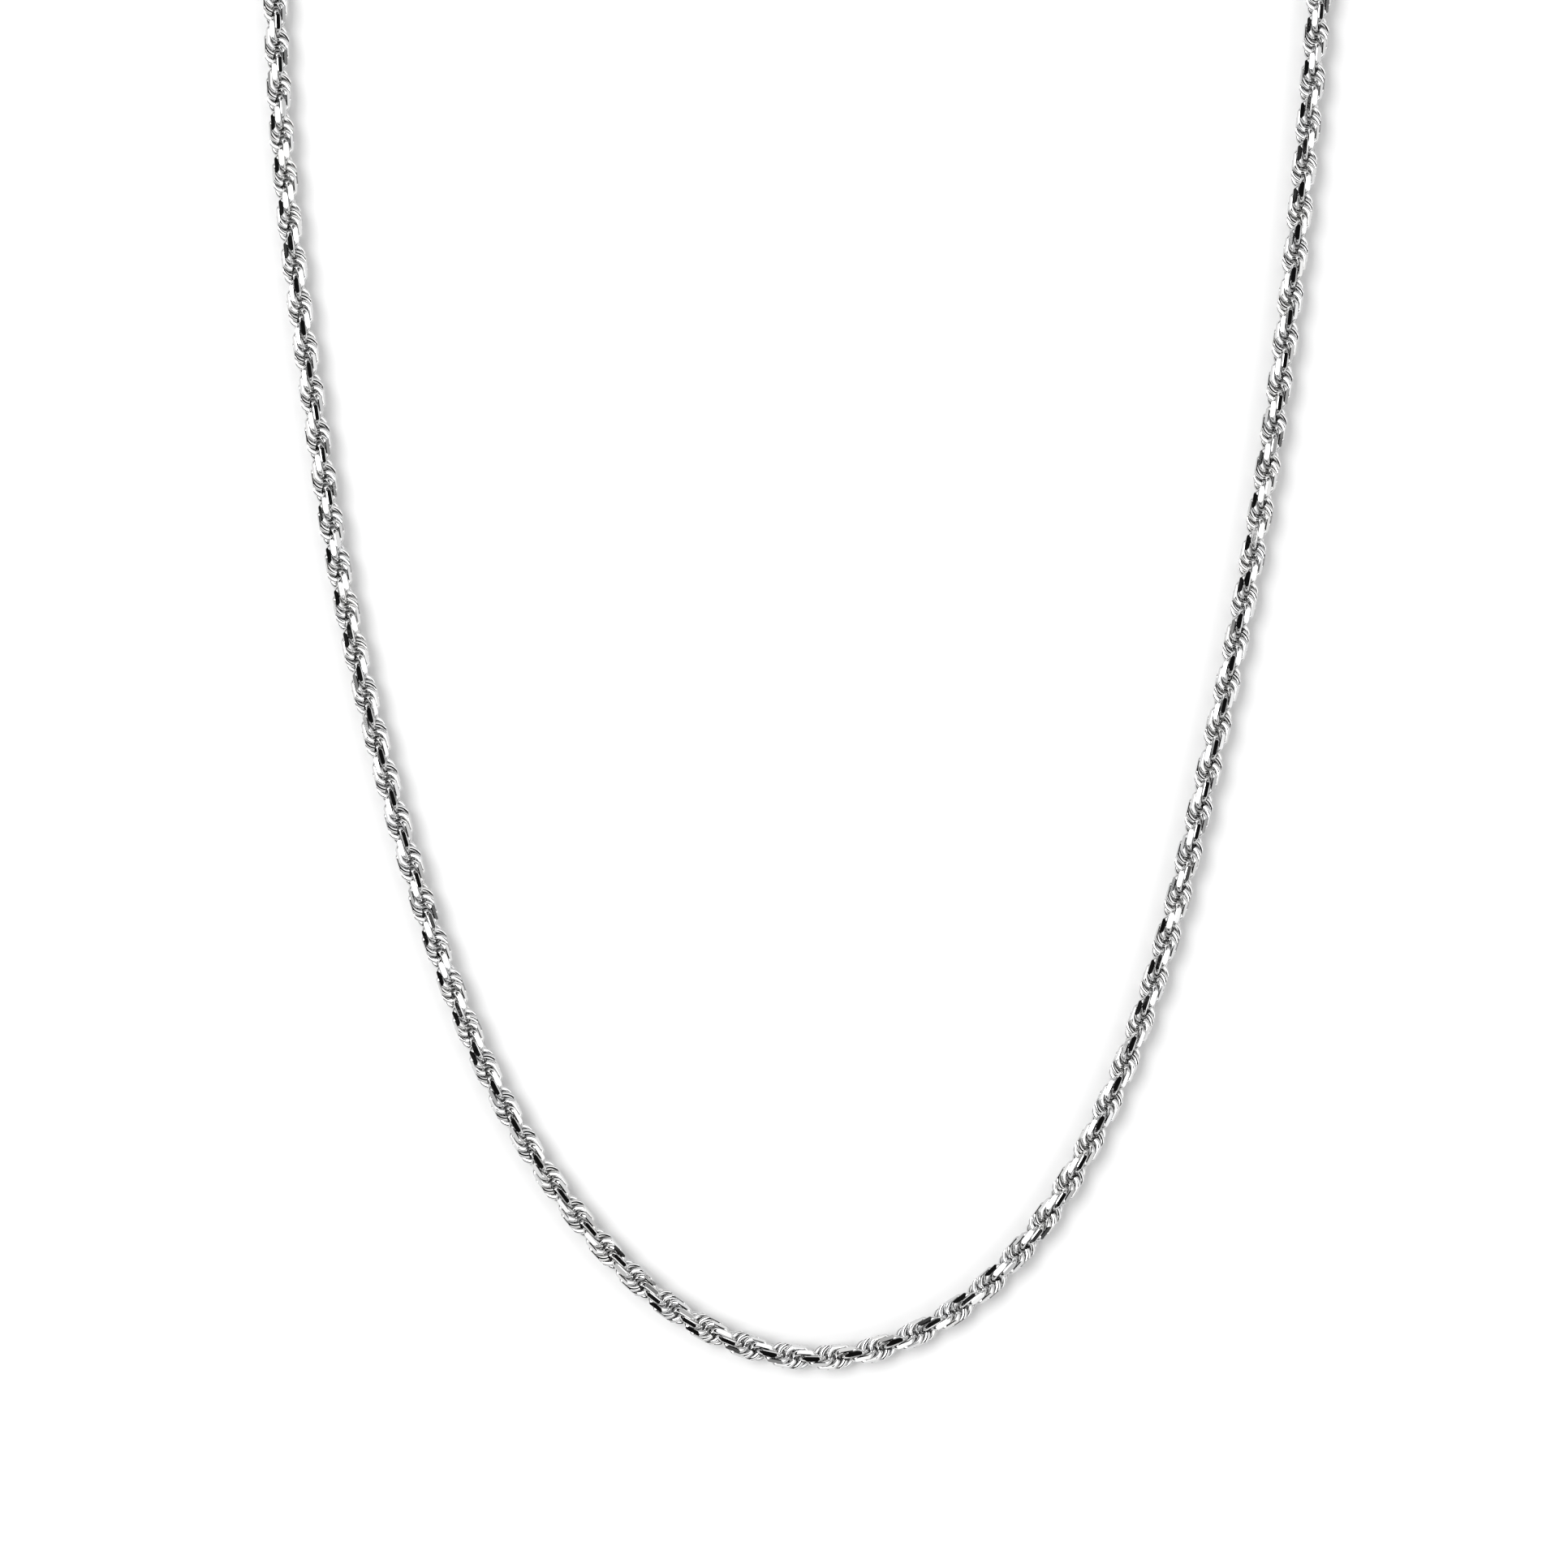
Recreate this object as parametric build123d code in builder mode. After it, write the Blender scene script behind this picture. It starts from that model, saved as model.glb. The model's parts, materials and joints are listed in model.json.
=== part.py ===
from build123d import *
import os
from math import asin, cos, degrees, radians, sin, sqrt

# Rope-chain necklace, unfastened and laid on a table in a U, in millimetres.
# X runs across the U, Y from the front of the necklace to its two ends, Z up from the table.

# ---------------------------------------------------------------- driving dimensions
wire_diameter = 0.54            # round wire that every link is bent from
link_diameter = 2.95            # link over its uncut outside
link_pitch = 0.70               # each link sits this much further along the chain
link_turn = -29.5               # and is turned this much about the chain, degrees
slit_width = 0.86               # gap cut through each link, one wire plus play
flat_radius = 1.22              # diamond-cut flats, measured from the chain's centre line
links_per_section = 24          # close to two full turns of the rope
section_count = 25
axis_height = 1.29              # chain's centre line above the table
end_axis_height = 1.56          # the same at the two end caps, which are thicker

cap_outer_radius = 1.50
cap_bore_radius = 1.34
cap_length = 2.8                # cup from its mouth to its closed end
cap_overlap = 2.2               # how much of the chain stands inside the cup
cap_floor = 0.15                # free space between the last link and the cup's end
cap_chamfer = 0.35
eye_outer_radius = 1.25
eye_hole_radius = 0.70
eye_thickness = 0.70
eye_bite = 0.25                 # how far the eye's disc runs into the cup

clasp_ring_radius = 1.40        # centre line of the ring that joins cap and clasp
clasp_ring_wire = 0.60
end_ring_radius = 2.20          # centre line of the ring that the clasp hooks into
end_ring_wire = 0.80
ring_pull = 0.15                # rings sit this far off the centre of the eye they hang in

clasp_thickness = 1.90
clasp_eye_radius = 1.40
clasp_body_half = (4.6, 2.9)    # outer oval's half length and half width
clasp_mouth_half = (2.9, 1.6)   # inner oval's half length and half width
clasp_body_centre = (5.6, 0.0)  # measured from the clasp's eye
clasp_mouth_centre = (6.4, -0.1)
clasp_chamfer = 0.28
clasp_lift = 0.05               # free space under the clasp
gate_start = 4.60               # the hook's side is open from here
nose_start = 8.38               # to the hook's nose, which begins here
gate_middle = 2.40
gate_depth = 4.00
pivot_place = (3.1, 1.45)
pivot_radius = 0.30
root_slot_place = (4.0, 2.1)    # slot between the two cheeks, for the lever
root_slot_size = (2.0, 5.0)
lever_thickness = 1.20
lever_root_radius = 0.95
lever_play = 0.08
lever_reach = 8.20              # where the lever's tip ends
lever_middle = 2.20
lever_depth = 3.00
lug_place = (4.9, 3.0)          # thumb lug on the lever
lug_half = (0.75, 0.55)
rivet_play = 0.05
spring_radius = 0.50
spring_wire = 0.14
spring_pitch = 0.16
spring_height = 0.32
spring_play = 0.03              # above and below the coil in its pocket
pocket_play = 0.10              # round the coil in its pocket

# The necklace's centre line, from the clasp's end round the front to the ring's end,
# measured from the front of the U; the model's origin is at table_middle.
table_middle = Vector(-1.50, 101.63, 0)
front_number = 13
route_points = [
    (-40.5, 197.5, end_axis_height),
    (-42.9, 191.0, end_axis_height),
    (-47.8, 176.0, axis_height),
    (-51.9, 157.0, axis_height),
    (-52.9, 133.1, axis_height),
    (-51.8, 114.0, axis_height),
    (-49.4, 94.9, axis_height),
    (-46.4, 75.8, axis_height),
    (-42.0, 56.7, axis_height),
    (-36.1, 37.6, axis_height),
    (-29.6, 23.2, axis_height),
    (-22.7, 13.1, axis_height),
    (-12.9, 4.1, axis_height),
    (0.0, 0.0, axis_height),
    (12.9, 4.1, axis_height),
    (22.1, 13.1, axis_height),
    (27.9, 23.2, axis_height),
    (33.4, 37.6, axis_height),
    (38.3, 56.7, axis_height),
    (42.3, 75.8, axis_height),
    (45.4, 94.9, axis_height),
    (47.6, 114.0, axis_height),
    (49.3, 133.1, axis_height),
    (49.7, 157.0, axis_height),
    (46.9, 176.0, axis_height),
    (43.0, 191.0, end_axis_height),
    (41.0, 197.5, end_axis_height),
]

# ---------------------------------------------------------------- the route
eye_x = cap_length - cap_overlap + eye_outer_radius - eye_bite   # eye's centre, from the chain's end
with BuildLine() as route:
    Spline([Vector(*place) - table_middle for place in route_points])
centre_line = route.edges()[0]
link_count = links_per_section * section_count
chain_length = (link_count - 1) * link_pitch
front_point = Vector(*route_points[front_number]) - table_middle
front_distance = centre_line.trim(0, front_point).length
first_link_distance = front_distance - chain_length / 2


def point_on_route(distance):
    """Point on the chain's centre line, measured along it from its start."""
    return centre_line.position_at(distance, position_mode=PositionMode.LENGTH)


def direction_on_route(distance):
    """Unit vector along the chain at that distance."""
    return centre_line.tangent_at(distance, position_mode=PositionMode.LENGTH)


def link_plane(number):
    """Plane of one link: x along the chain, y towards the link's outer rim."""
    distance = first_link_distance + number * link_pitch
    along = direction_on_route(distance)
    sideways = along.cross(Vector(0, 0, 1)).normalized()
    upward = sideways.cross(along)
    turn = radians(number * link_turn)
    rim = upward * cos(turn) - sideways * sin(turn)
    return Plane(point_on_route(distance), x_dir=along, z_dir=along.cross(rim))


def end_plane(distance, outward):
    """Plane on the table under one end of the chain: x outward, z up."""
    place = point_on_route(distance)
    along = direction_on_route(distance) * outward
    return Plane(Vector(place.X, place.Y, 0), x_dir=Vector(along.X, along.Y, 0), z_dir=Vector(0, 0, 1))


# ---------------------------------------------------------------- links
def make_link():
    """One slit ring of round wire, with a diamond-cut flat on each side of its rim."""
    ring_radius = (link_diameter - wire_diameter) / 2
    half_slit = asin(slit_width / 2 / ring_radius)
    wire_end = Plane(
        (0, 0, 0),
        x_dir=(cos(half_slit), sin(half_slit), 0),
        z_dir=(sin(half_slit), -cos(half_slit), 0),
    )
    cutter_depth = link_diameter / 2
    with BuildPart() as link:
        with BuildSketch(wire_end):
            with Locations((ring_radius, 0)):
                Circle(wire_diameter / 2)
        revolve(axis=Axis.Z, revolution_arc=360 - 2 * degrees(half_slit))
        with Locations(
            (0, flat_radius + cutter_depth / 2, 0),
            (0, -flat_radius - cutter_depth / 2, 0),
        ):
            Box(link_diameter, cutter_depth, 2 * wire_diameter, mode=Mode.SUBTRACT)
    return link.part.solid()


def make_links(name, first_number, end_number, link):
    """Every second link of one section, each threaded through its neighbours in the chain."""
    links = []
    for number in range(first_number, end_number, 2):
        links.append(link.moved(link_plane(number).location))
    return Compound(label=name, children=links)


# ---------------------------------------------------------------- end caps and rings
def make_end_cap():
    """A cup soldered over the chain's end, with a flat eye; x outward along the cup."""
    with BuildPart() as end_cap:
        with BuildSketch(Plane.YZ.offset(-cap_overlap)):
            Circle(cap_outer_radius)
        extrude(amount=cap_length)
        chamfer(end_cap.faces().sort_by(Axis.X)[-1].edges(), length=cap_chamfer)
        with BuildSketch(Plane.YZ.offset(-cap_overlap)):
            Circle(cap_bore_radius)
        extrude(amount=cap_overlap + cap_floor, mode=Mode.SUBTRACT)
        with BuildSketch(Plane.XY.offset(-eye_thickness / 2)):
            with Locations((eye_x, 0)):
                Circle(eye_outer_radius)
        extrude(amount=eye_thickness)
        with BuildSketch(Plane.XY.offset(-eye_thickness / 2)):
            with Locations((eye_x, 0)):
                Circle(eye_hole_radius)
        extrude(amount=eye_thickness, mode=Mode.SUBTRACT)
    return end_cap.part.solid()


def make_ring(ring_plane, radius, wire):
    """A closed ring of round wire lying in the given plane."""
    with BuildPart(ring_plane) as ring:
        Torus(radius, wire / 2)
    return ring.part.solid()


# ---------------------------------------------------------------- lobster clasp
def oval(centre, half_sizes):
    """Filled oval on the clasp's flat side."""
    with BuildSketch() as shape:
        with Locations(centre):
            Ellipse(*half_sizes)
    return shape.sketch


def make_clasp_body():
    """Hook, cheeks and eye in one casting; x from the eye towards the nose."""
    half = clasp_thickness / 2
    slot_half = lever_thickness / 2 + lever_play
    with BuildPart() as body:
        with BuildSketch(Plane.XY.offset(-half)):
            add(oval(clasp_body_centre, clasp_body_half))
            add(oval(clasp_mouth_centre, clasp_mouth_half), mode=Mode.SUBTRACT)
        extrude(amount=clasp_thickness)
        chamfer(body.faces().sort_by(Axis.Z)[-1].edges(), length=clasp_chamfer)
        chamfer(body.faces().sort_by(Axis.Z)[0].edges(), length=clasp_chamfer)
        # opening in the hook's side that the lever closes
        with BuildSketch(Plane.XY.offset(-half)):
            with Locations(((gate_start + nose_start) / 2, gate_middle)):
                Rectangle(nose_start - gate_start, gate_depth)
        extrude(amount=clasp_thickness, mode=Mode.SUBTRACT)
        # slot between the two cheeks for the lever's root
        with BuildSketch(Plane.XY.offset(-slot_half)):
            with Locations(pivot_place):
                Circle(lever_root_radius + lever_play)
            with Locations(root_slot_place):
                Rectangle(*root_slot_size)
        extrude(amount=2 * slot_half, mode=Mode.SUBTRACT)
        with BuildSketch(Plane.XY.offset(-eye_thickness / 2)):
            Circle(clasp_eye_radius)
        extrude(amount=eye_thickness)
        with BuildSketch(Plane.XY.offset(-half)):
            Circle(eye_hole_radius)
        extrude(amount=clasp_thickness, mode=Mode.SUBTRACT)
        with BuildSketch(Plane.XY.offset(-half)):
            with Locations(pivot_place):
                Circle(pivot_radius)
        extrude(amount=clasp_thickness, mode=Mode.SUBTRACT)
    return body.part.solid()


def make_clasp_lever():
    """Trigger that closes the hook's side, with a thumb lug and a pocket for the spring."""
    half = lever_thickness / 2
    pocket_radius = spring_radius + spring_wire / 2 + pocket_play
    pocket_depth = spring_height + spring_wire + 2 * spring_play
    with BuildPart() as lever:
        with BuildSketch(Plane.XY.offset(-half)):
            add(oval(clasp_body_centre, clasp_body_half))
            add(oval(clasp_mouth_centre, clasp_mouth_half), mode=Mode.SUBTRACT)
            with Locations(((pivot_place[0] + lever_reach) / 2, lever_middle)):
                Rectangle(lever_reach - pivot_place[0], lever_depth, mode=Mode.INTERSECT)
            with Locations(pivot_place):
                Circle(lever_root_radius)
            with Locations(lug_place):
                Ellipse(*lug_half)
        extrude(amount=lever_thickness)
        with BuildSketch(Plane.XY.offset(-half)):
            with Locations(pivot_place):
                Circle(pivot_radius + rivet_play)
        extrude(amount=lever_thickness, mode=Mode.SUBTRACT)
        with BuildSketch(Plane.XY.offset(half - pocket_depth)):
            with Locations(pivot_place):
                Circle(pocket_radius)
        extrude(amount=pocket_depth, mode=Mode.SUBTRACT)
    return lever.part.solid()


def make_clasp_rivet():
    """Rivet that the lever turns on, flush with both cheeks."""
    with BuildPart() as rivet:
        with BuildSketch(Plane.XY.offset(-clasp_thickness / 2)):
            with Locations(pivot_place):
                Circle(pivot_radius)
        extrude(amount=clasp_thickness)
    return rivet.part.solid()


def make_clasp_spring():
    """Torsion coil round the rivet, inside the lever's pocket."""
    base = lever_thickness / 2 - spring_height - spring_wire / 2 - spring_play
    coil_base = Vector(pivot_place[0], pivot_place[1], base)
    with BuildPart() as spring:
        with BuildLine() as coil:
            Helix(pitch=spring_pitch, height=spring_height, radius=spring_radius, center=coil_base)
        with BuildSketch(Plane(coil.line @ 0, z_dir=coil.line % 0)):
            Circle(spring_wire / 2)
        sweep(is_frenet=True)
    return spring.part.solid()


# ---------------------------------------------------------------- where the end pieces stand
clasp_end = end_plane(first_link_distance - link_diameter / 2, -1)
ring_end = end_plane(first_link_distance + chain_length + link_diameter / 2, 1)

# the clasp's ring stands on edge and passes through the cap's eye and the clasp's eye
clasp_ring_height = clasp_ring_radius + clasp_ring_wire / 2
clasp_height = clasp_thickness / 2 + clasp_lift
cap_crossing_x = eye_x + ring_pull
clasp_ring_x = cap_crossing_x + sqrt(clasp_ring_radius**2 - (clasp_ring_height - end_axis_height) ** 2)
clasp_crossing_x = clasp_ring_x + sqrt(clasp_ring_radius**2 - (clasp_ring_height - clasp_height) ** 2)
clasp_eye_x = clasp_crossing_x + ring_pull

# the end ring hangs in its cap's eye and slopes down until its far side meets the table
end_ring_slope = asin((end_axis_height - end_ring_wire / 2) / (2 * end_ring_radius))
end_ring_x = cap_crossing_x + end_ring_radius * cos(end_ring_slope)
end_ring_z = end_axis_height - end_ring_radius * sin(end_ring_slope)

cap_plane = Plane((0, 0, end_axis_height), x_dir=(1, 0, 0), z_dir=(0, 0, 1))
turned_cap_plane = Plane((0, 0, end_axis_height), x_dir=(1, 0, 0), z_dir=(0, 1, 0))
clasp_ring_plane = Plane((clasp_ring_x, 0, clasp_ring_height), x_dir=(1, 0, 0), z_dir=(0, 1, 0))
end_ring_plane = Plane(
    (end_ring_x, 0, end_ring_z),
    x_dir=(cos(end_ring_slope), 0, -sin(end_ring_slope)),
    z_dir=(sin(end_ring_slope), 0, cos(end_ring_slope)),
)
clasp_plane = Plane((clasp_eye_x, 0, clasp_height), x_dir=(1, 0, 0), z_dir=(0, 0, 1))


def make_pieces():
    """Every piece of the necklace, by name, on the route as drawn."""
    link = make_link()
    cap = make_end_cap()
    pieces = {}
    for count in range(section_count):
        first = count * links_per_section
        end = first + links_per_section
        for start, group in ((first, "even"), (first + 1, "odd")):
            name = f"chain_{count + 1:02d}_{group}_links"
            pieces[name] = make_links(name, start, end, link)
    at_clasp = clasp_end.location
    on_clasp = at_clasp * clasp_plane.location
    at_ring = ring_end.location
    pieces["clasp_end_cap"] = cap.moved(at_clasp * cap_plane.location)
    pieces["clasp_ring"] = make_ring(clasp_ring_plane, clasp_ring_radius, clasp_ring_wire).moved(at_clasp)
    pieces["clasp_body"] = make_clasp_body().moved(on_clasp)
    pieces["clasp_lever"] = make_clasp_lever().moved(on_clasp)
    pieces["clasp_rivet"] = make_clasp_rivet().moved(on_clasp)
    pieces["clasp_spring"] = make_clasp_spring().moved(on_clasp)
    pieces["ring_end_cap"] = cap.moved(at_ring * turned_cap_plane.location)
    pieces["end_ring"] = make_ring(end_ring_plane, end_ring_radius, end_ring_wire).moved(at_ring)
    return pieces


os.makedirs("parts", exist_ok=True)
pieces = make_pieces()
for name, piece in pieces.items():
    piece.label = name
    export_step(piece, f"parts/{name}.step")
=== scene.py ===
import json
from math import cos, pi, radians, sin

import bmesh
import bpy
import numpy as np
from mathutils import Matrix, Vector


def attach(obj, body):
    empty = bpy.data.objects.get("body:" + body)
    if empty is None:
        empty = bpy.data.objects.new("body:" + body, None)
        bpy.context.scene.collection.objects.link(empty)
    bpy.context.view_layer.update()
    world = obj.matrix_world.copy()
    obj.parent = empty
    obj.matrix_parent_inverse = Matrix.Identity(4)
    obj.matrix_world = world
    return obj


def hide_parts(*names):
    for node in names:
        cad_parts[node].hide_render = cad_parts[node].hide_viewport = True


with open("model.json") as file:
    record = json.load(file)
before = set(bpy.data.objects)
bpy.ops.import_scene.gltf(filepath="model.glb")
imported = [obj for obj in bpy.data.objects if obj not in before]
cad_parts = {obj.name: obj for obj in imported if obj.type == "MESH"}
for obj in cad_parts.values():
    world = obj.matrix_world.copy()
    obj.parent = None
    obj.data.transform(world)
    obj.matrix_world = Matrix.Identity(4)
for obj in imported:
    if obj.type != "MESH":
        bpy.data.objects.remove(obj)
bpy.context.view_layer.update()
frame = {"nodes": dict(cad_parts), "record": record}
MM = 0.001

# ---------------------------------------------------------------- sizes, in millimetres
LINKS_PER_NODE = 12         # solids in a CAD node, each with the same number of corners
WIRE = 0.57                 # the rope's wire, a little fuller than in the CAD links
LINK_DIAMETER = 2.90        # over the link's uncut outside
FLAT_RADIUS = 1.22          # diamond-cut flats, from the chain's centre line
FLAT_HALF = 0.19            # half the flat's width, between its two bevels
BEVEL = 38.0                # degrees between the flat and each bevel
SLIT = 0.80                 # gap cut through the link
FACET_CORNERS = 8           # a face with more corners than this is a cut facet
WOBBLE = 1.0                # degrees, how unevenly the links are turned by hand
WOBBLE_SEED = 7
AROUND_LINK = 44            # mesh steps along the ring
AROUND_WIRE = 16            # mesh corners around its wire

# ---------------------------------------------------------------- the photograph's view, in metres
VIEW_OFFSET = Vector((-0.0031, 0.0562, 0.0))     # from the front of the U
VIEW_WIDTH = 0.1538
CAMERA_HEIGHT = 0.9
SENSOR = 36.0                                    # millimetres
CLIP_START = 0.01

# ---------------------------------------------------------------- the white tent
WALL_AXIS = (0.20, 0.0, 0.98)       # leaning right, so its low left side is dark
WALL_STOPS = ((0.0, 0.004), (0.18, 0.01), (0.30, 0.30), (0.46, 0.62), (0.66, 1.0), (1.0, 1.0))
ROOF_AXIS = (0.0, 0.0, 1.0)         # a dark opening straight overhead
ROOF_STOPS = ((0.0, 1.0), (0.77, 1.0), (0.87, 0.004), (1.0, 0.004))
TENT_STRENGTH = 1.8

# ---------------------------------------------------------------- the key light and the floor
KEY_PLACE = (-0.75, 0.10, 1.0)
KEY_TARGET = (0, -0.02, 0)
KEY_SIZE = (1.0, 1.0)
KEY_POWER = 14
FLOOR_HALF = 1.5
FLOOR_GREY = 0.80
FLOOR_ROUGHNESS = 0.9

# ---------------------------------------------------------------- the metals: tone, then the least
# and the most roughness
ROPE_FINISH = (0.66, 0.04, 0.09)
CASTING_FINISH = (0.68, 0.24, 0.36)
SPRING_FINISH = (0.62, 0.18, 0.3)
WARM_PATCH = (1.0, 0.995, 0.985)    # shares of the tone
COOL_PATCH = (0.96, 0.965, 0.975)
PATCH_SCALE = 420.0
POLISH_SCALE = 1600.0
GRAIN_SCALE = 5200.0
GRAIN_STRENGTH = 0.06
GRAIN_DEPTH = 0.000004              # metres
NOISE_LOW, NOISE_HIGH = 0.3, 0.7    # the part of the noise's range that is used


# ---------------------------------------------------------------- materials
def node_material(name):
    material = bpy.data.materials.new(name)
    material.use_nodes = True
    tree = material.node_tree
    return material, tree, tree.nodes["Principled BSDF"]


def noise_ramp(tree, scale, detail, low, high):
    """Object-space noise mapped to a range of grey, for roughness and tone."""
    place = tree.nodes.new("ShaderNodeTexCoord")
    noise = tree.nodes.new("ShaderNodeTexNoise")
    noise.inputs["Scale"].default_value = scale
    noise.inputs["Detail"].default_value = detail
    reach = tree.nodes.new("ShaderNodeMapRange")
    reach.inputs["From Min"].default_value = NOISE_LOW
    reach.inputs["From Max"].default_value = NOISE_HIGH
    reach.inputs["To Min"].default_value = low
    reach.inputs["To Max"].default_value = high
    tree.links.new(place.outputs["Object"], noise.inputs["Vector"])
    tree.links.new(noise.outputs["Fac"], reach.inputs["Value"])
    return noise, reach


def polished_silver(name, tone, rough_low, rough_high):
    """Bare metal: slight warm and cool patches, uneven polish and a fine grain."""
    material, tree, shader = node_material(name)
    shader.inputs["Metallic"].default_value = 1.0
    _, tint = noise_ramp(tree, PATCH_SCALE, 3.0, 0.0, 1.0)
    colour = tree.nodes.new("ShaderNodeMix")
    colour.data_type = "RGBA"
    for socket, patch in (("A", WARM_PATCH), ("B", COOL_PATCH)):
        colour.inputs[socket].default_value = (*(tone * share for share in patch), 1)
    tree.links.new(tint.outputs["Result"], colour.inputs["Factor"])
    tree.links.new(colour.outputs["Result"], shader.inputs["Base Color"])
    _, rough = noise_ramp(tree, POLISH_SCALE, 4.0, rough_low, rough_high)
    tree.links.new(rough.outputs["Result"], shader.inputs["Roughness"])
    grain, _ = noise_ramp(tree, GRAIN_SCALE, 2.0, 0.0, 1.0)
    bump = tree.nodes.new("ShaderNodeBump")
    bump.inputs["Strength"].default_value = GRAIN_STRENGTH
    bump.inputs["Distance"].default_value = GRAIN_DEPTH
    tree.links.new(grain.outputs["Fac"], bump.inputs["Height"])
    tree.links.new(bump.outputs["Normal"], shader.inputs["Normal"])
    return material


# ---------------------------------------------------------------- link meshes
def link_mesh():
    """One slit ring of round wire with its diamond-cut flats.

    x points at the slit and y at the flat on the rim.
    """
    ring = (LINK_DIAMETER - WIRE) / 2
    half_slit = np.arcsin(SLIT / 2 / ring)
    mesh = bmesh.new()
    rows = []
    for step in range(AROUND_LINK + 1):
        turn = half_slit + (2 * pi - 2 * half_slit) * step / AROUND_LINK
        out = Vector((cos(turn), sin(turn), 0))
        row = []
        for part in range(AROUND_WIRE):
            lean = 2 * pi * part / AROUND_WIRE
            place = out * (ring + WIRE / 2 * cos(lean))
            place += Vector((0, 0, WIRE / 2 * sin(lean)))
            row.append(mesh.verts.new(place))
        rows.append(row)
    for one, two in zip(rows, rows[1:]):
        for part in range(AROUND_WIRE):
            after = (part + 1) % AROUND_WIRE
            mesh.faces.new((one[part], one[after], two[after], two[part]))
    mesh.faces.new(rows[0])
    mesh.faces.new(rows[-1][::-1])
    tilt = radians(BEVEL)
    for side in (1, -1):
        cut_flat(mesh, Vector((0, side * FLAT_RADIUS, 0)), Vector((0, side, 0)))
        for lean in (1, -1):
            edge = Vector((0, side * FLAT_RADIUS, lean * FLAT_HALF))
            cut_flat(mesh, edge, Vector((0, side * cos(tilt), lean * sin(tilt))))
    bmesh.ops.recalc_face_normals(mesh, faces=mesh.faces)
    return mesh


def cut_flat(mesh, place, outward):
    """Plane cut with a closed flat face, as the diamond tool leaves it."""
    everything = mesh.verts[:] + mesh.edges[:] + mesh.faces[:]
    cut = bmesh.ops.bisect_plane(
        mesh, geom=everything, plane_co=place, plane_no=outward, clear_outer=True
    )
    rim = [item for item in cut["geom_cut"] if isinstance(item, bmesh.types.BMEdge)]
    bmesh.ops.contextual_create(mesh, geom=rim)


def link_arrays(mesh):
    """The link as arrays: corners, face loops, face sizes, and which edges stay sharp."""
    mesh.verts.index_update()
    points = np.array([vert.co for vert in mesh.verts])
    faces = [[vert.index for vert in face.verts] for face in mesh.faces]
    sharp = []
    for edge in mesh.edges:
        if max(len(face.verts) for face in edge.link_faces) > FACET_CORNERS:
            sharp.append(frozenset(vert.index for vert in edge.verts))
    return points, faces, sharp


def link_frames(node):
    """Centre and axes of each link in one CAD node, read from its solids."""
    mesh = frame["nodes"][node].data
    corners = np.empty(len(mesh.vertices) * 3, np.float32)
    mesh.vertices.foreach_get("co", corners)
    solids = corners.reshape(LINKS_PER_NODE, -1, 3).astype(float)
    frames = []
    for solid in solids:
        middle = solid.mean(0)
        _, _, axes = np.linalg.svd(solid - middle, full_matrices=False)
        flat = (solid - middle) @ axes.T
        system = np.column_stack((2 * flat[:, :2], np.ones(len(flat))))
        fit, *_ = np.linalg.lstsq(system, (flat[:, :2] ** 2).sum(1), rcond=None)
        centre = middle + fit[0] * axes[0] + fit[1] * axes[1]
        away = solid - centre
        slit = -(away / np.linalg.norm(away, axis=1)[:, None]).mean(0)
        normal = axes[2]
        slit -= slit.dot(normal) * normal
        slit /= np.linalg.norm(slit)
        frames.append((centre, slit, np.cross(normal, slit), normal))
    return frames


def rope_object(name, node, arrays, material, hand):
    """The links of one CAD node as one piece, each link a closed mesh of its own."""
    points, faces, sharp = arrays
    every_point = []
    every_face = []
    for number, (centre, along, rim, normal) in enumerate(link_frames(node)):
        slip = radians(np.clip(hand.normal(0, WOBBLE), -2 * WOBBLE, 2 * WOBBLE))
        leaning_rim = rim * cos(slip) + normal * sin(slip)
        axes = np.array((along, leaning_rim, np.cross(along, leaning_rim)))
        turned = centre + MM * points @ axes
        every_point.append(turned)
        start = number * len(points)
        every_face += [[start + corner for corner in face] for face in faces]
    data = bpy.data.meshes.new(name)
    data.from_pydata(np.concatenate(every_point).tolist(), [], every_face)
    data.polygons.foreach_set("use_smooth", [True] * len(data.polygons))
    edge_ends = np.empty(len(data.edges) * 2, np.int32)
    data.edges.foreach_get("vertices", edge_ends)
    edge_ends = edge_ends.reshape(-1, 2)
    local = edge_ends % len(points)
    flags = [frozenset(pair) in sharp for pair in local.tolist()]
    data.attributes.new("sharp_edge", "BOOLEAN", "EDGE")
    data.attributes["sharp_edge"].data.foreach_set("value", flags)
    data.materials.append(material)
    piece = bpy.data.objects.new(name, data)
    bpy.context.scene.collection.objects.link(piece)
    return piece


# ---------------------------------------------------------------- stage
def make_floor():
    data = bpy.data.meshes.new("floor")
    around = ((-1, -1), (1, -1), (1, 1), (-1, 1))
    corners = [(x * FLOOR_HALF, y * FLOOR_HALF, 0) for x, y in around]
    data.from_pydata(corners, [], [(0, 1, 2, 3)])
    floor = bpy.data.objects.new("floor", data)
    bpy.context.scene.collection.objects.link(floor)
    material, tree, shader = node_material("white_paper")
    shader.inputs["Base Color"].default_value = (FLOOR_GREY, FLOOR_GREY, FLOOR_GREY, 1)
    shader.inputs["Roughness"].default_value = FLOOR_ROUGHNESS
    shader.inputs["Specular IOR Level"].default_value = 0.0
    data.materials.append(material)


def make_light(name, place, target, size, power):
    data = bpy.data.lights.new(name, "AREA")
    data.shape = "RECTANGLE"
    data.size, data.size_y = size
    data.energy = power
    light = bpy.data.objects.new(name, data)
    light.location = place
    towards = Vector(target) - Vector(place)
    light.rotation_euler = towards.to_track_quat("-Z", "Y").to_euler()
    bpy.context.scene.collection.objects.link(light)


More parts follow.
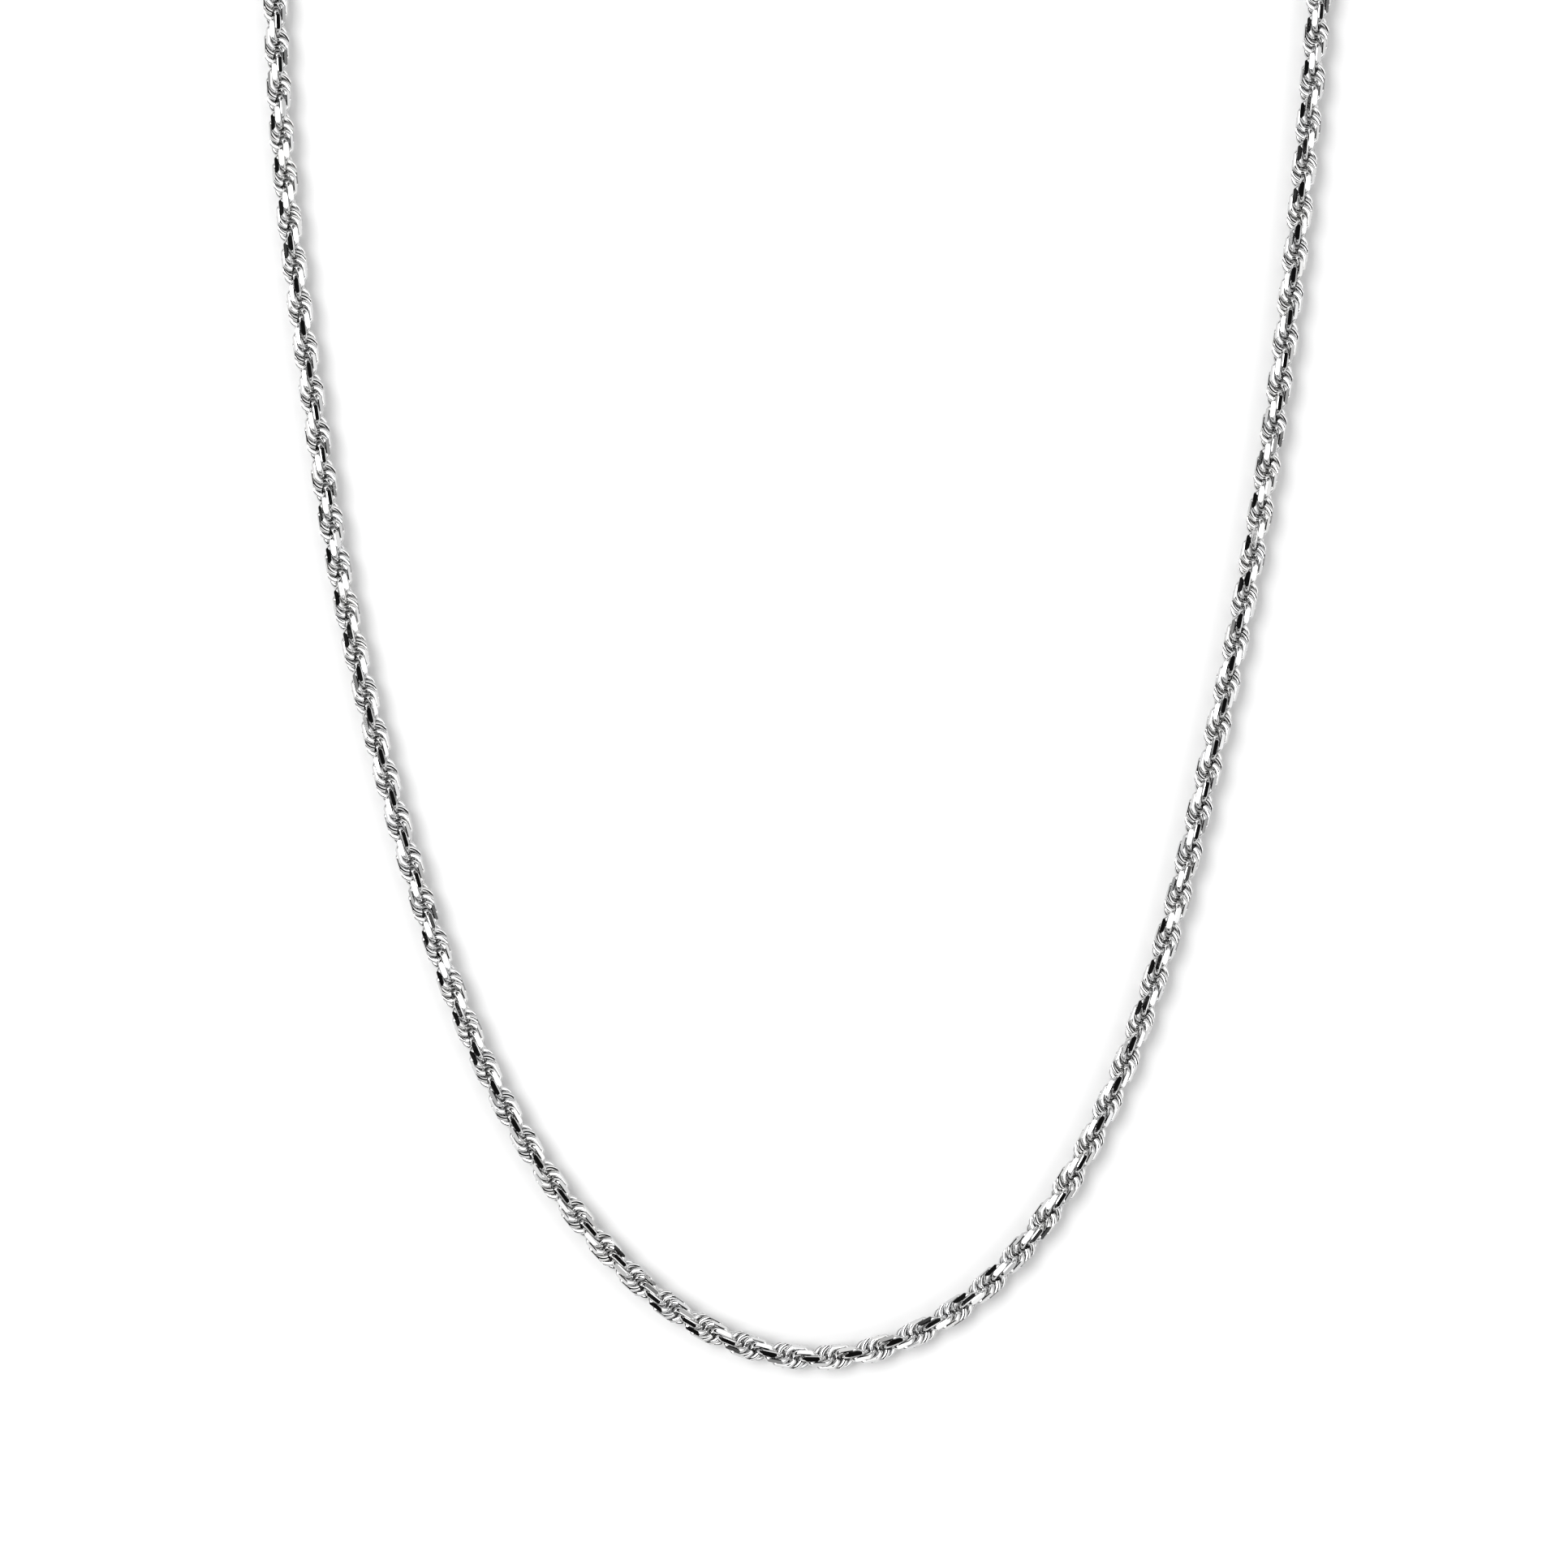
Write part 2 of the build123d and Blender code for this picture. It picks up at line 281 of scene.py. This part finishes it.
def tent_ramp(tree, place, axis, stops):
    """Grey that changes with how far a direction leans away from the axis."""
    lean = tree.nodes.new("ShaderNodeVectorMath")
    lean.operation = "DOT_PRODUCT"
    lean.inputs[1].default_value = axis
    ramp = tree.nodes.new("ShaderNodeValToRGB")
    tree.links.new(place.outputs["Generated"], lean.inputs[0])
    tree.links.new(lean.outputs["Value"], ramp.inputs["Fac"])
    elements = ramp.color_ramp.elements
    while len(elements) < len(stops):
        elements.new(0.5)
    for element, (height, grey) in zip(elements, stops):
        element.position = height
        element.color = (grey, grey, grey, 1)
    return ramp


def make_world(strength):
    """White studio tent with a dark opening overhead and a dark low side on the left."""
    world = bpy.data.worlds.new("studio")
    bpy.context.scene.world = world
    world.use_nodes = True
    tree = world.node_tree
    back = tree.nodes["Background"]
    back.inputs["Strength"].default_value = strength
    place = tree.nodes.new("ShaderNodeTexCoord")
    walls = tent_ramp(tree, place, WALL_AXIS, WALL_STOPS)
    roof = tent_ramp(tree, place, ROOF_AXIS, ROOF_STOPS)
    both = tree.nodes.new("ShaderNodeMix")
    both.data_type = "RGBA"
    both.blend_type = "MULTIPLY"
    both.inputs["Factor"].default_value = 1.0
    tree.links.new(walls.outputs["Color"], both.inputs["A"])
    tree.links.new(roof.outputs["Color"], both.inputs["B"])
    tree.links.new(both.outputs["Result"], back.inputs["Color"])


def front_of_the_u():
    """The lowest point of the U, where a pendant would hang."""
    for mount in frame["record"]["mounts"]:
        if mount["name"] == "pendant_seat":
            return Vector((mount["pos_m"][0], mount["pos_m"][1], 0.0))


def make_camera():
    data = bpy.data.cameras.new("camera")
    data.sensor_width = SENSOR
    data.lens = SENSOR * CAMERA_HEIGHT / VIEW_WIDTH
    data.clip_start = CLIP_START
    camera = bpy.data.objects.new("camera", data)
    camera.location = front_of_the_u() + VIEW_OFFSET + Vector((0, 0, CAMERA_HEIGHT))
    camera.rotation_euler = (0, 0, 0)
    bpy.context.scene.collection.objects.link(camera)
    bpy.context.scene.camera = camera


bpy.context.scene.view_settings.view_transform = "Standard"
make_camera()
make_floor()
make_world(TENT_STRENGTH)
make_light("key", KEY_PLACE, KEY_TARGET, KEY_SIZE, KEY_POWER)

silver = polished_silver("polished_silver", *ROPE_FINISH)
castings = polished_silver("silver_castings", *CASTING_FINISH)
spring_wire = polished_silver("spring_steel", *SPRING_FINISH)

link = link_arrays(link_mesh())
hand = np.random.default_rng(WOBBLE_SEED)
for body, members in frame["record"]["behaviour"]["bodies"].items():
    for node in members:
        if node.endswith("_links"):
            piece = rope_object(node.replace("chain", "rope"), node, link, silver, hand)
            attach(piece, body)
            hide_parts(node)
        else:
            finish = spring_wire if node == "clasp_spring" else castings
            for place in frame["nodes"][node].material_slots:
                place.material = finish
